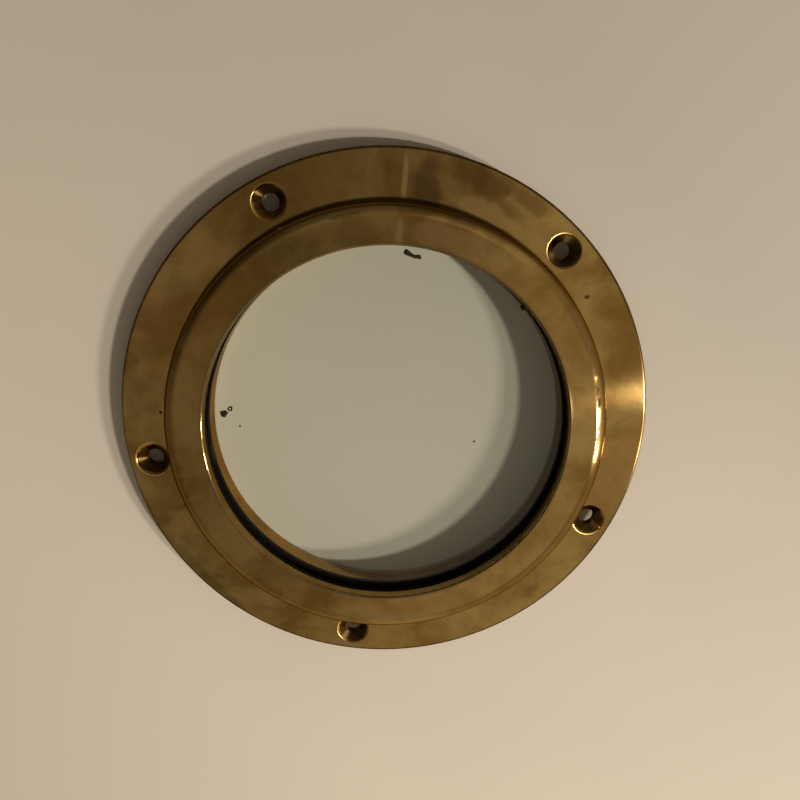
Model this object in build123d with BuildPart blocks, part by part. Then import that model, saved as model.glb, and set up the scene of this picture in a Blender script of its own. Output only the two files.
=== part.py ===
from build123d import *
import os

# A round fixed sight glass: a flanged bronze frame, a thick pane between two rubber rings,
# and a clamping ring that is screwed on from behind.
#
# Millimetres. +Z points to the viewed side. The origin is the centre of the bolt circle, on
# the back face of the flange, so all that lies below z = 0 enters the cut-out in the wall.

# Sight opening and the lip that covers the edge of the pane
opening_radius = 86.8
lip_width = 10.7  # from the sight opening out to the bore that holds the pane
lip_thickness = 4.6
lip_edge_radius = 0.9

# Raised ring round the opening
ring_wall = 8.4  # from the pane's bore out to the upright wall of the ring
ring_height = 17.2  # above the front of the flange
ring_shoulder_radius = 6.0
ring_foot_radius = 0.5

# Flange and its countersunk mounting holes
flange_width = 24.1  # from the upright wall out to the rim
flange_thickness = 8.0
flange_front_radius = 1.3
flange_back_chamfer = 0.6
bolt_count = 5
first_bolt_angle = -90
bolt_edge_distance = 12.0  # from the rim in to the middle of each hole
bolt_hole_radius = 4.2
bolt_sink_radius = 8.2
bolt_sink_edge_radius = 1.0
sink_angle = 90

# Pane and its rubber
glass_thickness = 10.0
glass_chamfer = 0.5
edge_band_thickness = 2.0
front_gasket_thickness = 3.0
rear_gasket_thickness = 3.0
seat_clearance = 0.1  # all round, between the bore and what lies in it
band_clearance = 0.1  # between the rim of the pane and its edge band

# Clamping ring: a sleeve that presses on the rear gasket, and the spigot behind the flange
clamp_bore_step = 0.2  # the clamping ring's bore is this much wider than the sight opening
clamp_clearance = 0.3  # between the sleeve and the bore of the frame
register_depth = 0.8  # how deep the spigot is let into the back of the frame
register_clearance = 0.3  # round the spigot where it is let in
clamp_front_chamfer = 0.4
clamp_back_chamfer = 0.6
spigot_overhang = 10.0  # from the pane's bore out to the side of the spigot
spigot_length = 6.4

# Countersunk slotted screws that hold the clamping ring
screw_count = 8
screw_inset = 3.8  # from the pane's bore out to the middle of each screw
screw_radius = 1.95
screw_length = 16.0
screw_point = 0.6
screw_head_radius = 3.75
screw_head_land = 0.3
screw_head_below_face = 0.2
screw_slot_width = 1.0
screw_slot_depth = 1.0
screw_slot_turn = 47  # degrees from one screw's slot to the next, as they happened to stop
tapped_clearance = 0.05
tapped_spare_depth = 2.0
passing_clearance = 0.3
sink_clearance = 0.05

# Radii that follow from these
seat_radius = opening_radius + lip_width
ring_radius = seat_radius + ring_wall
flange_radius = ring_radius + flange_width
bolt_circle_radius = flange_radius - bolt_edge_distance
rubber_radius = seat_radius - seat_clearance
glass_radius = rubber_radius - edge_band_thickness - band_clearance
clamp_bore_radius = opening_radius + clamp_bore_step
sleeve_radius = seat_radius - clamp_clearance
spigot_radius = seat_radius + spigot_overhang
register_radius = spigot_radius + register_clearance
screw_circle_radius = seat_radius + screw_inset

# Heights that follow from these, from front to back
face_height = flange_thickness + ring_height
lip_back = face_height - lip_thickness
glass_front = lip_back - front_gasket_thickness
glass_back = glass_front - glass_thickness
clamp_front = glass_back - rear_gasket_thickness
spigot_back = -spigot_length
screw_head_face = spigot_back + screw_head_below_face
screw_sink_radius = screw_head_radius + screw_head_land + screw_head_below_face + sink_clearance
passing_radius = screw_radius + passing_clearance
passing_depth = register_depth - spigot_back
tapped_depth = screw_head_face + screw_length + tapped_spare_depth

os.makedirs("parts", exist_ok=True)


def circle_edges(part, radius, height):
    """Edges of a part that run right round the Z axis at one radius and one height."""
    near = 0.01
    rings = part.edges().filter_by(GeomType.CIRCLE)
    rings = rings.filter_by(lambda edge: abs(edge.radius - radius) < near)
    return rings.filter_by(lambda edge: abs(edge.arc_center.Z - height) < near)


# Frame: flange, raised ring, sight lip, the bore behind it and the register for the spigot
with BuildPart() as main_frame:
    with BuildSketch(Plane.XY):
        Circle(flange_radius)
    extrude(amount=flange_thickness)
    with BuildSketch(Plane.XY.offset(flange_thickness)):
        Circle(ring_radius)
    extrude(amount=ring_height)
    with BuildSketch(Plane.XY):
        Circle(seat_radius)
    extrude(amount=lip_back, mode=Mode.SUBTRACT)
    with BuildSketch(Plane.XY):
        Circle(register_radius)
    extrude(amount=register_depth, mode=Mode.SUBTRACT)
    with BuildSketch(Plane.XY.offset(lip_back)):
        Circle(opening_radius)
    extrude(amount=lip_thickness, mode=Mode.SUBTRACT)

    fillet(circle_edges(main_frame, ring_radius, face_height), ring_shoulder_radius)
    fillet(circle_edges(main_frame, opening_radius, face_height), lip_edge_radius)
    fillet(circle_edges(main_frame, ring_radius, flange_thickness), ring_foot_radius)
    fillet(circle_edges(main_frame, flange_radius, flange_thickness), flange_front_radius)
    chamfer(circle_edges(main_frame, flange_radius, 0), flange_back_chamfer)

    with Locations(Plane.XY.offset(flange_thickness)):
        with PolarLocations(bolt_circle_radius, bolt_count, start_angle=first_bolt_angle):
            CounterSinkHole(bolt_hole_radius, bolt_sink_radius, flange_thickness, sink_angle)
    fillet(circle_edges(main_frame, bolt_sink_radius, flange_thickness), bolt_sink_edge_radius)
    with BuildSketch(Plane.XY):
        with PolarLocations(screw_circle_radius, screw_count):
            Circle(screw_radius + tapped_clearance)
    extrude(amount=tapped_depth, mode=Mode.SUBTRACT)

main_frame.part.label = "main_frame"
export_step(main_frame.part, "parts/main_frame.step")

# Front rubber ring, between the lip and the pane
with BuildPart() as front_gasket:
    with BuildSketch(Plane.XY.offset(glass_front)):
        Circle(rubber_radius)
        Circle(opening_radius, mode=Mode.SUBTRACT)
    extrude(amount=front_gasket_thickness)

front_gasket.part.label = "front_gasket"
export_step(front_gasket.part, "parts/front_gasket.step")

# Pane of thick glass with ground edges
with BuildPart() as glass_pane:
    with BuildSketch(Plane.XY.offset(glass_back)):
        Circle(glass_radius)
    extrude(amount=glass_thickness)
    chamfer(circle_edges(glass_pane, glass_radius, glass_front), glass_chamfer)
    chamfer(circle_edges(glass_pane, glass_radius, glass_back), glass_chamfer)

glass_pane.part.label = "glass_pane"
export_step(glass_pane.part, "parts/glass_pane.step")

# Rubber band round the rim of the pane, which centres it in the bore
with BuildPart() as glass_edge_band:
    with BuildSketch(Plane.XY.offset(glass_back)):
        Circle(rubber_radius)
        Circle(rubber_radius - edge_band_thickness, mode=Mode.SUBTRACT)
    extrude(amount=glass_thickness)

glass_edge_band.part.label = "glass_edge_band"
export_step(glass_edge_band.part, "parts/glass_edge_band.step")

# Rear rubber ring, between the pane and the clamping ring
with BuildPart() as rear_gasket:
    with BuildSketch(Plane.XY.offset(clamp_front)):
        Circle(rubber_radius)
        Circle(clamp_bore_radius, mode=Mode.SUBTRACT)
    extrude(amount=rear_gasket_thickness)

rear_gasket.part.label = "rear_gasket"
export_step(rear_gasket.part, "parts/rear_gasket.step")

# Clamping ring: spigot, sleeve, and the sunk holes for its screws in the back
with BuildPart() as retaining_ring:
    with BuildSketch(Plane.XY.offset(spigot_back)):
        Circle(spigot_radius)
    extrude(amount=register_depth - spigot_back)
    with BuildSketch(Plane.XY.offset(register_depth)):
        Circle(sleeve_radius)
    extrude(amount=clamp_front - register_depth)
    with BuildSketch(Plane.XY.offset(spigot_back)):
        Circle(clamp_bore_radius)
    extrude(amount=clamp_front - spigot_back, mode=Mode.SUBTRACT)

    chamfer(circle_edges(retaining_ring, clamp_bore_radius, clamp_front), clamp_front_chamfer)
    chamfer(circle_edges(retaining_ring, clamp_bore_radius, spigot_back), clamp_back_chamfer)
    chamfer(circle_edges(retaining_ring, spigot_radius, spigot_back), clamp_back_chamfer)
    chamfer(circle_edges(retaining_ring, spigot_radius, register_depth), register_depth)

    with Locations(Plane.XY.offset(spigot_back).rotated((180, 0, 0))):
        with PolarLocations(screw_circle_radius, screw_count):
            CounterSinkHole(passing_radius, screw_sink_radius, passing_depth, sink_angle)

retaining_ring.part.label = "retaining_ring"
export_step(retaining_ring.part, "parts/retaining_ring.step")

# Countersunk slotted screws, each turned from its head face towards the front
for number, place in enumerate(PolarLocations(screw_circle_radius, screw_count), start=1):
    head_plane = Plane(place).offset(screw_head_face)
    turning_plane = Plane(origin=head_plane.origin, x_dir=(1, 0, 0), z_dir=(0, -1, 0))
    cone_end = screw_head_land + screw_head_radius - screw_radius
    with BuildPart() as retaining_screw:
        with BuildSketch(turning_plane):
            with BuildLine():
                Polyline(
                    (0, 0),
                    (screw_head_radius, 0),
                    (screw_head_radius, screw_head_land),
                    (screw_radius, cone_end),
                    (screw_radius, screw_length - screw_point),
                    (screw_radius - screw_point, screw_length),
                    (0, screw_length),
                    close=True,
                )
            make_face()
        revolve(axis=Axis(head_plane.origin, (0, 0, 1)))
        with BuildSketch(head_plane):
            Rectangle(2.5 * screw_head_radius, screw_slot_width, rotation=number * screw_slot_turn)
        extrude(amount=screw_slot_depth, mode=Mode.SUBTRACT)

    retaining_screw.part.label = f"retaining_screw_{number}"
    export_step(retaining_screw.part, f"parts/retaining_screw_{number}.step")
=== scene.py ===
import math
import random

import bmesh
import bpy
from mathutils import Matrix, Vector


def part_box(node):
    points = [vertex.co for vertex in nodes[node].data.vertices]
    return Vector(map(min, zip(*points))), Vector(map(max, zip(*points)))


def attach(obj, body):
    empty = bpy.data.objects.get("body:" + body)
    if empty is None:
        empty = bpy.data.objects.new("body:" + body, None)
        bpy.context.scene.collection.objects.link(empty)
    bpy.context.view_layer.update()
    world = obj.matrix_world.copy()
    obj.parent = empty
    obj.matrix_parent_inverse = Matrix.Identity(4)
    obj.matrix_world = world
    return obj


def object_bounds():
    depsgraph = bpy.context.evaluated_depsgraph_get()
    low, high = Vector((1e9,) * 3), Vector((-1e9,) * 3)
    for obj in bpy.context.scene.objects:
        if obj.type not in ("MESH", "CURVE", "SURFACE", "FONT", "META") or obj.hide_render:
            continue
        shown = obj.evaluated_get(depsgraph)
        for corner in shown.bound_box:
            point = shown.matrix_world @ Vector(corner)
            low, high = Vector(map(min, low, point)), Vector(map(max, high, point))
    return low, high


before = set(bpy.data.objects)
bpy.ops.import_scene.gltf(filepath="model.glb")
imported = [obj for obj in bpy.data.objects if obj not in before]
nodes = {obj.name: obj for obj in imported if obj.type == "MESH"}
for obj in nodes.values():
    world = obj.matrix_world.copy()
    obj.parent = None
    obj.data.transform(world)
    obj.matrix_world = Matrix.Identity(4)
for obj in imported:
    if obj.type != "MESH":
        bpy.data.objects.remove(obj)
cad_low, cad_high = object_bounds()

MM = 0.001
scene = bpy.context.scene

# ---------------------------------------------------------------- places in the frame
frame_low, frame_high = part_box("main_frame")
pane_low, pane_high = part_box("glass_pane")
floor_height = cad_low.z
flange_back = frame_low.z
flange_front = flange_back + 8 * MM
face_height = frame_high.z
pane_front = pane_high.z
rim_radius = frame_high.x
opening_radius = 86.8 * MM
ring_radius = 105.9 * MM
shoulder_start = ring_radius - 6 * MM
bolt_circle = 118 * MM
bolt_count = 5
sink_radius = 8.2 * MM


# ---------------------------------------------------------------- node helpers
class Graph:
    """The node tree of a material or a world, built by short calls."""

    def __init__(self, owner):
        self.owner = owner
        owner.use_nodes = True
        self.tree = owner.node_tree
        self.tree.nodes.clear()

    def node(self, kind, inputs=None, **settings):
        made = self.tree.nodes.new(kind)
        for key, value in settings.items():
            setattr(made, key, value)
        for key, value in (inputs or {}).items():
            self.put(made.inputs[key], value)
        return made

    def put(self, socket, value):
        if isinstance(value, bpy.types.NodeSocket):
            self.tree.links.new(value, socket)
        else:
            socket.default_value = value

    def math(self, operation, *values):
        made = self.node("ShaderNodeMath", operation=operation)
        for socket, value in zip(made.inputs, values):
            self.put(socket, value)
        return made.outputs[0]

    def fold(self, operation, first, *others):
        """One operation carried through any number of values, from the left."""
        for other in others:
            first = self.math(operation, first, other)
        return first

    def plus(self, *values):
        return self.fold("ADD", *values)

    def times(self, *values):
        return self.fold("MULTIPLY", *values)

    def most(self, *values):
        return self.fold("MAXIMUM", *values)

    def length(self, a, b):
        """The length of a vector that has these two parts."""
        return self.math("SQRT", self.plus(self.times(a, a), self.times(b, b)))

    def along(self, place, direction):
        """How far a place lies along a direction."""
        made = self.node("ShaderNodeVectorMath", {0: place, 1: direction}, operation="DOT_PRODUCT")
        return made.outputs["Value"]

    def swing(self, noise, amount):
        """A noise of 0 to 1, made to swing about nothing."""
        return self.times(self.plus(noise, -0.5), amount)

    def noise(self, where, scale, detail, roughness, distortion=0.0):
        made = self.node("ShaderNodeTexNoise", {"Vector": where, "Scale": scale, "Detail": detail,
                                                "Roughness": roughness, "Distortion": distortion})
        return made.outputs["Fac"]

    def between(self, value, low, high, to_low=0.0, to_high=1.0, smooth=True):
        """The value's way from low to high, as a number from to_low to to_high."""
        made = self.node("ShaderNodeMapRange", {"Value": value, "From Min": low, "From Max": high,
                                                "To Min": to_low, "To Max": to_high})
        made.interpolation_type = "SMOOTHSTEP" if smooth else "LINEAR"
        return made.outputs["Result"]

    def window(self, value, low, high, soft):
        """One between low and high, falling to nothing over a soft edge on each side."""
        return self.times(self.between(value, low - soft, low + soft),
                          self.between(value, high + soft, high - soft))

    def mix(self, share, a, b):
        made = self.node("ShaderNodeMix", data_type="RGBA")
        for number, value in ((0, share), (6, a), (7, b)):
            self.put(made.inputs[number], value)
        return made.outputs[2]

    def object_place(self):
        return self.node("ShaderNodeTexCoord").outputs["Object"]

    def bump(self, height, strength, distance):
        made = self.node("ShaderNodeBump", {"Height": height, "Strength": strength,
                                            "Distance": distance})
        return made.outputs[0]

    def principled(self, inputs):
        """The usual shader, and with it the finished material."""
        shader = self.node("ShaderNodeBsdfPrincipled", inputs)
        return self.finish("ShaderNodeOutputMaterial", shader)

    def finish(self, output_kind, surface):
        self.node(output_kind, {"Surface": surface.outputs[0]})
        return self.owner


def material_graph(name):
    return Graph(bpy.data.materials.new(name))


def colour(red, green, blue):
    """A colour given as it looks, 0 to 255, in the linear values that a shader takes."""
    def linear(level):
        level /= 255
        return level / 12.92 if level <= 0.04045 else ((level + 0.055) / 1.055) ** 2.4
    return (linear(red), linear(green), linear(blue), 1.0)


def dress(node, material):
    """The node's shape stays, and its one material becomes this one."""
    data = nodes[node].data
    data.materials.clear()
    data.materials.append(material)


# ---------------------------------------------------------------- marks on the frame
# Tarnish, and among it painted highlights and a painted dark reflection: angle in degrees; radius,
# half width and half depth in millimetres; share; colour
flange_tarnish_and_painted_light = (
    (120, 118.0, 42.0, 16.0, 0.35, colour(146, 102, 36)),
    (73, 110.5, 19.0, 5.0, 0.55, colour(238, 196, 130)),
    (79, 123.5, 13.0, 6.2, 0.55, colour(116, 80, 38)),
    (67, 124.5, 10.0, 4.5, 0.50, colour(116, 80, 38)),
    # painted dark reflection, drawn out along the radius
    (89.6, 112.0, 6.6, 12.5, 0.58, colour(92, 62, 48)),
    # painted highlight: a thin bright streak along the radius
    (94.9, 115.0, 1.1, 10.0, 0.55, colour(244, 206, 146)),
    (-131, 126.2, 30.0, 2.6, 0.35, colour(90, 80, 46)),
    (155, 120.0, 6.0, 4.0, 0.20, colour(96, 80, 46)),
    (-42, 122.0, 5.5, 2.6, 0.30, colour(130, 84, 50)),
    (-175, 115.0, 4.0, 5.0, 0.18, colour(120, 76, 50)),
    (-148, 114.0, 1.2, 3.0, 0.35, colour(92, 66, 34)))
face_tarnish_and_painted_light = (
    # painted highlight: a thin bright streak along the radius
    (95.6, 93.0, 1.4, 7.0, 0.40, colour(238, 204, 150)),
    (108, 93.5, 9.0, 5.5, 0.35, colour(122, 86, 44)),
    (78, 93.5, 20.0, 8.0, 0.50, colour(232, 190, 128)))
# Pits: angle, radius, half width and half depth, in the same units
pits = ((42, 114.0, 1.0, 1.4), (-174, 111.0, 0.9, 0.9))

# a brown for painted shade on the face's side away from the lamps
side_shade_brown = colour(118, 82, 34)
wall_brown = colour(66, 44, 18)
lip_grey = colour(124, 110, 82)
# a brown for painted shade on the shoulder, on the lamps' side
shoulder_shade_brown = colour(116, 88, 54)
# black for dirt and for painted shade
grime_and_shade_black = (0.040, 0.021, 0.007, 1)

# the face's side away from the lamps, where shade is painted
shade_side = (-0.93, -0.36, 0)
# the side the lamps light: the wall gets less painted shade there, the shoulder a browner tone
lamp_side = (0.98, -0.17, 0)


def spot(g, place, ragged, degrees, radius, half_width, half_depth):
    """A round mark with a ragged edge, at an angle and a radius."""
    turn = math.radians(degrees)
    outward = g.along(place, (math.cos(turn), math.sin(turn), 0))
    sideways = g.along(place, (-math.sin(turn), math.cos(turn), 0))
    deep = g.math("DIVIDE", g.plus(outward, -radius * MM), half_depth * MM)
    wide = g.math("DIVIDE", sideways, half_width * MM)
    away = g.plus(g.length(deep, wide), ragged)
    return g.between(away, 1.35, 0.55)


def from_nearest_hole(g, radius, angle):
    """The distance from the middle of the nearest mounting hole; the first lies on -Y."""
    step = 2 * math.pi / bolt_count
    turn = g.plus(angle, math.pi / 2 + 2 * math.pi + step / 2)
    near = g.plus(g.math("MODULO", turn, step), -step / 2)
    across = g.times(radius, g.math("SINE", near))
    outward = g.plus(g.times(radius, g.math("COSINE", near)), -bolt_circle)
    return g.length(across, outward)


def frame_tarnish_and_painted_light(g, place, radius, z, tone):
    """Painted shade on the face's side away from the lamps; clouds of tarnish, painted highlights
    and a painted dark reflection on face and flange.
    """
    on_flange = g.times(g.between(radius, ring_radius, ring_radius + 1 * MM),
                        g.between(z, flange_front - 0.6 * MM, flange_front - 0.1 * MM))
    on_face = g.between(z, face_height - 1.0 * MM, face_height - 0.2 * MM)
    # painted shade: the face is darker on the side away from the lamps
    dull = g.times(on_face, g.between(g.along(place, shade_side), 0.005, 0.075), 0.20)
    tone = g.mix(dull, tone, side_shade_brown)
    billows = g.swing(g.noise(place, 70, 4, 0.55), 2.2)
    for area, marks in ((on_flange, flange_tarnish_and_painted_light), (on_face, face_tarnish_and_painted_light)):
        for degrees, where, half_width, half_depth, share, shade in marks:
            mark = spot(g, place, billows, degrees, where, half_width, half_depth)
            tone = g.mix(g.times(mark, area, share), tone, shade)
    return tone


def frame_grime_and_shade(g, place, radius, z, from_hole):
    """Dirt and painted shade: both in the foot corner, dirt in the sunk holes and pits, painted
    shade on the rim edge and the underside.
    """
    ragged = g.noise(place, 900, 3, 0.6)
    # dirt with painted shade, in the corner at the foot of the ring
    foot = g.length(g.plus(z, -flange_front), g.plus(radius, -ring_radius))
    foot = g.times(g.between(foot, 2.6 * MM, 0.8 * MM),
                   g.between(z, flange_front - 0.2 * MM, flange_front - 0.05 * MM))
    hole = g.times(g.between(from_hole, sink_radius, sink_radius - 0.6 * MM),
                   g.between(z, flange_front - 0.4 * MM, flange_front - 1.2 * MM),
                   g.between(ragged, 0.35, 0.65, 0.72, 1.0))
    # painted shade: the dark line round the rim's rounded edge
    rim = g.times(g.between(radius, rim_radius - 1.6 * MM, rim_radius - 0.9 * MM),
                  g.between(ragged, 0.3, 0.6, 0.8, 1.0))
    # painted shade: the underside is made dark, which deepens the shade under the flange
    under = g.between(z, flange_back + 0.8 * MM, flange_back + 0.2 * MM)
    chipped = g.swing(ragged, 1.4)
    return g.most(foot, hole, rim, under, *[spot(g, place, chipped, *pit) for pit in pits])


def frame_marks(g, place, radius, angle, z, tone):
    """What only the frame has: its tone with all marks and painted light, and how much rougher
    they are.
    """
    tone = frame_tarnish_and_painted_light(g, place, radius, z, tone)
    toward_lamps = g.along(place, lamp_side)
    from_hole = from_nearest_hole(g, radius, angle)

    # brown patina on the shoulder and the wall, with painted shade in it: least on the lamps'
    # side, most where the light does not fall
    wall = g.times(g.between(radius, shoulder_start - 1.4 * MM, shoulder_start + 0.6 * MM),
                   g.between(z, face_height - 0.5 * MM, face_height - 1.8 * MM),
                   g.between(z, flange_front + 0.1 * MM, flange_front + 0.4 * MM),
                   g.between(toward_lamps, 0.02, 0.085, 0.90, 0.35))
    tone = g.mix(wall, tone, wall_brown)

    # dirt in holes and pits, dirt and painted shade at the foot, painted shade on the rim and
    # underside
    grime_and_shade = frame_grime_and_shade(g, place, radius, z, from_hole)
    tone = g.mix(g.times(grime_and_shade, 0.88), tone, grime_and_shade_black)

    # edges are rubbed, not polished: lip, shoulder, rim and the edges of the sunk holes; the
    # shoulder also gets painted shade on the lamps' side
    lip = g.between(radius, opening_radius + 2.4 * MM, opening_radius + 0.6 * MM)
    shoulder = g.times(
        g.between(radius, shoulder_start - 0.7 * MM, shoulder_start + 0.7 * MM),
        g.between(z, face_height - 15 * MM, face_height - 6 * MM))
    rim = g.between(radius, rim_radius - 1.4 * MM, rim_radius - 1.0 * MM)
    sunk_edge = g.times(
        g.window(from_hole, sink_radius - 0.3 * MM, sink_radius + 0.8 * MM, 0.3 * MM),
        g.between(z, face_height - 10 * MM, face_height - 15 * MM))
    tone = g.mix(g.times(lip, 0.60), tone, lip_grey)
    # painted shade: a browner tone on the lamps' side of the shoulder, which dims the lamp
    # highlight there
    lamp_side_shade = g.times(shoulder, g.between(toward_lamps, 0.02, 0.085, 0.0, 0.55))
    tone = g.mix(lamp_side_shade, tone, shoulder_shade_brown)
    rubbed = g.most(g.times(lip, 0.20), g.times(shoulder, 0.30), g.times(rim, 0.55),
                    g.times(sunk_edge, 0.60))
    return tone, g.most(grime_and_shade, rubbed)


# ---------------------------------------------------------------- bronze
def bronze(name, light, dark, red, polish, seed, marks=None):
    """Turned and polished bronze, gone brown: lathe rings, clouds of patina, dull spots."""
    g = material_graph(name)
    place = g.object_place()
    moved = g.node("ShaderNodeVectorMath", {0: place, 1: (seed, seed * 0.7, 0)}).outputs[0]
    x, y, z = g.node("ShaderNodeSeparateXYZ", {0: place}).outputs
    radius = g.length(x, y)
    angle = g.math("ARCTAN2", y, x)

    # patina, in clouds of three sizes
    clouds = g.noise(moved, 26, 5, 0.6, 0.4)
    blush = g.noise(moved, 13, 3, 0.5, 0.8)
    mottle = g.noise(moved, 160, 4, 0.6)
    tone = g.mix(g.between(clouds, 0.34, 0.64), dark, light)
    tone = g.mix(g.times(g.between(blush, 0.52, 0.70), 0.35), tone, red)
    tone = g.mix(g.times(g.between(mottle, 0.50, 0.72), 0.30), tone, dark)
    grime_shade_and_wear = 0.0
    if marks:
        tone, grime_shade_and_wear = marks(g, place, radius, angle, z, tone)

    # rings left by the lathe: noise that changes with radius and height, not with angle
    turned = g.node("ShaderNodeCombineXYZ", {0: radius, 2: z}).outputs[0]
    fine = g.noise(turned, 3200, 3, 0.7)
    broad = g.noise(turned, 420, 2, 0.5)

    # most of it is well polished; scratched rings, dull spots and marks are rougher
    dull_spots = g.noise(moved, 3600, 2, 0.5)
    rough = g.plus(polish, g.swing(clouds, -0.03),
                   g.times(g.between(fine, 0.64, 0.74), 0.025),
                   g.times(g.between(dull_spots, 0.60, 0.70), 0.05),
                   g.times(grime_shade_and_wear, 0.35))

    grooves = g.plus(g.times(fine, 0.6), g.times(broad, 0.6))
    around = g.node("ShaderNodeTangent", direction_type="RADIAL", axis="Z")
    return g.principled({
        "Base Color": tone, "Metallic": 1.0, "Roughness": rough,
        "Specular Tint": (0.55, 0.42, 0.28, 1),
        "Anisotropic": 0.94, "Anisotropic Rotation": 0.25, "Tangent": around.outputs[0],
        "Normal": g.bump(grooves, 0.05, 0.1 * MM)})


# ---------------------------------------------------------------- rubber
def rubber(name):
    """Black rubber, matt and a little dusty."""
    g = material_graph(name)
    dust = g.noise(g.object_place(), 300, 5, 0.65)
    tone = g.mix(g.between(dust, 0.50, 0.85), (0.0014, 0.0014, 0.0014, 1),
                 (0.007, 0.006, 0.005, 1))
    return g.principled({
        "Base Color": tone, "Roughness": g.between(dust, 0.3, 0.8, 0.6, 0.9),
        "Specular IOR Level": 0.06, "Normal": g.bump(dust, 0.3, 0.2 * MM)})


# ---------------------------------------------------------------- glass
def glass(name):
    """Thick float glass, faintly green. Light from the lamps goes straight through."""
    g = material_graph(name)
    clear = g.node("ShaderNodeBsdfPrincipled", {
        "Base Color": (0.853, 0.903, 0.870, 1), "Roughness": 0.0, "IOR": 1.52,
        "Transmission Weight": 1.0})
    passing = g.node("ShaderNodeBsdfTransparent", {"Color": (0.924, 0.950, 0.9325, 1)})
    ray = g.node("ShaderNodeLightPath")
    seen = g.most(ray.outputs["Is Camera Ray"], ray.outputs["Is Transmission Ray"])
    both = g.node("ShaderNodeMixShader", {0: seen, 1: passing.outputs[0], 2: clear.outputs[0]})
    return g.finish("ShaderNodeOutputMaterial", both)


# ---------------------------------------------------------------- materials on the nodes
frame_bronze = bronze("frame_bronze", colour(204, 167, 103), colour(160, 122, 64),
                      colour(172, 118, 70), 0.060, 0.0, frame_marks)
ring_bronze = bronze("ring_bronze", colour(196, 158, 100), colour(152, 116, 64),
                     colour(166, 116, 74), 0.10, 3.1)
screw_brass = bronze("screw_brass", colour(208, 174, 112), colour(156, 124, 72),
                     colour(176, 124, 80), 0.13, 5.7)
black_rubber = rubber("rubber")

dress("main_frame", frame_bronze)
dress("retaining_ring", ring_bronze)
dress("glass_pane", glass("glass"))
for node in ("front_gasket", "rear_gasket", "glass_edge_band"):
    dress(node, black_rubber)
for node in nodes:
    if node.startswith("retaining_screw"):
        dress(node, screw_brass)


# ---------------------------------------------------------------- dirt on the pane
def dirt():
    """Dried dirt: nearly black, grainy and matt."""
    g = material_graph("dried_dirt")
    grain = g.noise(g.object_place(), 1500, 4, 0.6)
    tone = g.mix(g.between(grain, 0.4, 0.7), (0.012, 0.010, 0.006, 1), (0.045, 0.038, 0.024, 1))
    return g.principled({
        "Base Color": tone, "Roughness": g.between(grain, 0.3, 0.7, 0.75, 0.95),
        "Specular IOR Level": 0.15, "Normal": g.bump(grain, 0.5, 0.2 * MM)})


crust_corners = 56
crust_rings = 5
reach_step = 0.00004
reach_limit = 0.0044
smallest_reach = 0.00001


def reach(lobes, turn):
    """How far a set of round lobes reaches from the middle in one direction."""
    furthest = 0.0
    for step in range(1, round(reach_limit / reach_step)):
        distance = step * reach_step
        x, y = distance * math.cos(turn), distance * math.sin(turn)
        if any(math.hypot(x - lobe_x, y - lobe_y) < size for lobe_x, lobe_y, size in lobes):
            furthest = distance
    return furthest


def crust(name, middle, lobes, thickness, seed, hollow=0.0):
    """A low dried crust on the pane: an outline round its lobes, domed, closed below."""
    chance = random.Random(seed)
    waves = [(chance.uniform(0.04, 0.09), count, chance.uniform(0, 2 * math.pi))
             for count in (3, 5, 8, 13)]
    outline = []
    for corner in range(crust_corners):
        turn = 2 * math.pi * corner / crust_corners
        ragged = 1 + sum(size * math.sin(count * turn + start) for size, count, start in waves)
        outline.append((turn, reach(lobes, turn) * ragged))

    mesh = bmesh.new()
    layers = []
    for ring in range(crust_rings + 1):
        share = hollow + (1 - hollow) * ring / crust_rings
        from_crest = abs(2 * ring / crust_rings - 1) if hollow else ring / crust_rings
        rise = thickness * math.sqrt(max(0.0, 1 - from_crest ** 2))
        layer = []
        for turn, edge in outline:
            out = max(edge * share, smallest_reach)
            bumps = 1 + 0.25 * math.sin(5 * turn + 9 * share + seed)
            layer.append(mesh.verts.new((middle[0] + out * math.cos(turn),
                                         middle[1] + out * math.sin(turn),
                                         pane_front + rise * bumps)))
        layers.append(layer)

    # a hollow crust is closed by a band from its outer to its inner edge, a full one by caps
    bands = list(zip(layers, layers[1:]))
    if hollow:
        bands.append((layers[-1], layers[0]))
    else:
        mesh.faces.new(layers[0])
        mesh.faces.new(list(reversed(layers[-1])))
    for inner, outer in bands:
        for corner in range(crust_corners):
            after = (corner + 1) % crust_corners
            mesh.faces.new((inner[corner], outer[corner], outer[after], inner[after]))
    bmesh.ops.recalc_face_normals(mesh, faces=mesh.faces)
    data = bpy.data.meshes.new(name)
    mesh.to_mesh(data)
    mesh.free()
    for face in data.polygons:
        face.use_smooth = True
    data.materials.append(dried_dirt)
    piece = bpy.data.objects.new(name, data)
    scene.collection.objects.link(piece)
    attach(piece, "root")


# Each crust: its middle on the pane, then its lobes as x and y from there and a radius
dried_dirt = dirt()
crust("dirt_top", (-0.0014, 0.0829),
      ((-0.0027, 0.0007, 0.0014), (-0.0013, 0.0002, 0.0010), (-0.0004, -0.0001, 0.0009),
       (0.0006, -0.0004, 0.0008), (0.0016, -0.0005, 0.0009), (0.0028, -0.0004, 0.0012)),
      0.0004, 1)
crust("dirt_left", (-0.0782, -0.0045), ((-0.0001, -0.0001, 0.0017), (0.0002, 0.0002, 0.0016)),
      0.0004, 2)
crust("dirt_left_ring", (-0.0756, -0.0018), ((0.0, 0.0, 0.0012), (0.0003, 0.0004, 0.0011)),
      0.0003, 3, hollow=0.35)
crust("dirt_speck_right", (0.0430, -0.0003), ((0.0, 0.0, 0.00055),), 0.0002, 4)
crust("dirt_speck_low", (-0.0700, -0.0095), ((0.0, 0.0, 0.0005),), 0.0002, 5)
crust("dirt_edge", (0.0530, 0.0674), ((-0.0004, 0.0003, 0.0008), (0.0004, -0.0005, 0.0007)),
      0.0003, 6)


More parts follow.
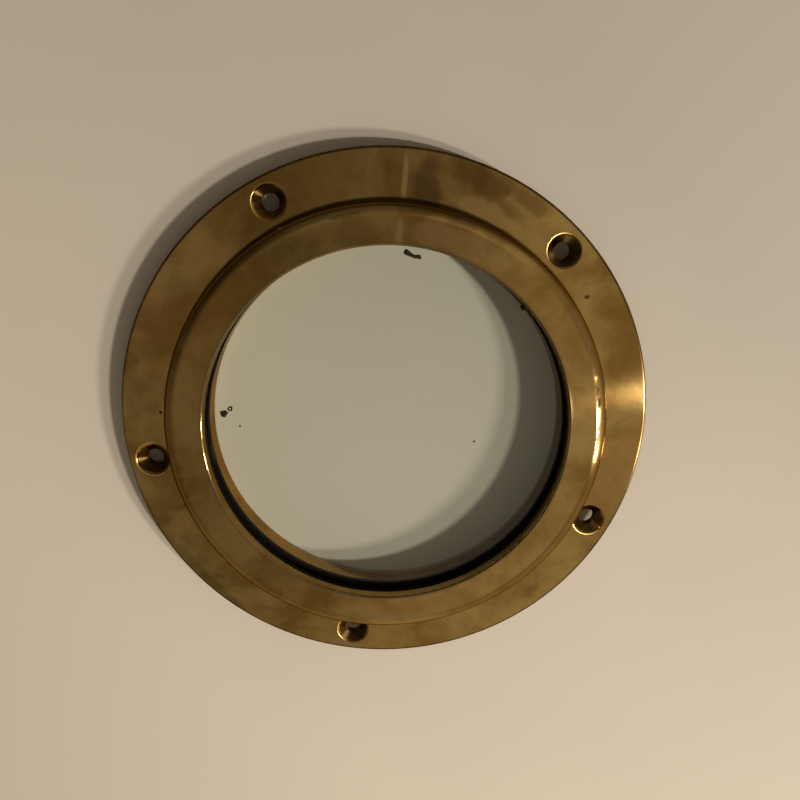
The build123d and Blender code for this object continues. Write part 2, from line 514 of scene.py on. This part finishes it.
# ---------------------------------------------------------------- floor
def floor_material():
    """Matt pale paint, with a painted light gradient: a little paler towards the front left."""
    g = material_graph("floor_paint")
    place = g.object_place()
    x, y, z = g.node("ShaderNodeSeparateXYZ", {0: place}).outputs
    cloud = g.swing(g.noise(place, 9, 3, 0.5), 0.12)
    # painted light: the floor gets paler towards the front left
    painted_light_slope = g.plus(g.times(x, -0.70), g.times(y, -1.0), cloud)
    tone = g.mix(g.between(painted_light_slope, -0.22, 0.22, smooth=False),
                 colour(193, 182, 167), colour(226, 212, 194))
    return g.principled({"Base Color": tone, "Roughness": 0.7, "Specular IOR Level": 0.25})


bpy.ops.mesh.primitive_plane_add(size=6, location=(0, 0, floor_height))
floor = bpy.context.object
floor.name = "floor"
floor.data.materials.append(floor_material())


# ---------------------------------------------------------------- lamps and world
def lamp(name, place, width, height, power, tint):
    """A tall narrow soft lamp that faces the middle of the object."""
    data = bpy.data.lights.new(name, "AREA")
    data.shape = "ELLIPSE"
    data.size = width
    data.size_y = height
    data.energy = power
    data.color = tint
    made = bpy.data.objects.new(name, data)
    made.location = place
    made.rotation_euler = Vector(place).to_track_quat("Z", "Y").to_euler()
    scene.collection.objects.link(made)


lamp_tint = (1.0, 0.93, 0.84)
lamp("lamp_high", (0.990, -0.206, 1.389), 0.055, 0.15, 12.0, lamp_tint)
lamp("lamp_low", (0.960, -0.300, 0.900), 0.055, 0.17, 6.8, lamp_tint)

room_tint = (1.0, 0.900, 0.700, 1)
bright_side = (0.966, 0.259, 0.0)
low_side = (0.316, -0.949, 0.0)
dark_side = (-0.436, 0.873, 0.218)


def room():
    """Soft light from all round: brighter on the lamps' side, dim above and at the back."""
    g = Graph(bpy.data.worlds.new("room"))
    way = g.node("ShaderNodeTexCoord").outputs["Generated"]
    across = g.along(way, bright_side)
    rise = g.node("ShaderNodeSeparateXYZ", {0: way}).outputs[2]
    low_light = g.times(g.between(rise, 0.75, 0.1), g.between(g.along(way, low_side), 0.0, 0.7))
    level = g.plus(g.between(across, -0.85, -0.30, 0.08, 0.21),
                   g.between(across, -0.30, 0.15, 0.0, 0.17), g.times(low_light, 0.14))
    level = g.times(level, g.between(g.along(way, dark_side), 0.30, 0.75, 1.0, 0.35),
                    g.between(rise, 0.994, 0.966, 0.54, 1.0))
    sky = g.node("ShaderNodeBackground", {"Color": room_tint, "Strength": level})
    return g.finish("ShaderNodeOutputWorld", sky)


scene.world = room()

# ---------------------------------------------------------------- camera
eye = Vector((-0.01988, 0.09925, 0.33853))
aim = Vector((0.00459, 0.01236, 0.008))
picture_up = Vector((-0.1464, 0.9540, -0.2616))
back = (eye - aim).normalized()
right = picture_up.cross(back).normalized()
up = back.cross(right)

camera_data = bpy.data.cameras.new("camera")
camera_data.sensor_width = 36
camera_data.lens = 31.29
camera_data.clip_start = 10 * MM
camera = bpy.data.objects.new("camera", camera_data)
camera.matrix_world = Matrix.Translation(eye) @ Matrix((right, up, back)).transposed().to_4x4()
scene.collection.objects.link(camera)
scene.camera = camera

scene.view_settings.view_transform = "Standard"
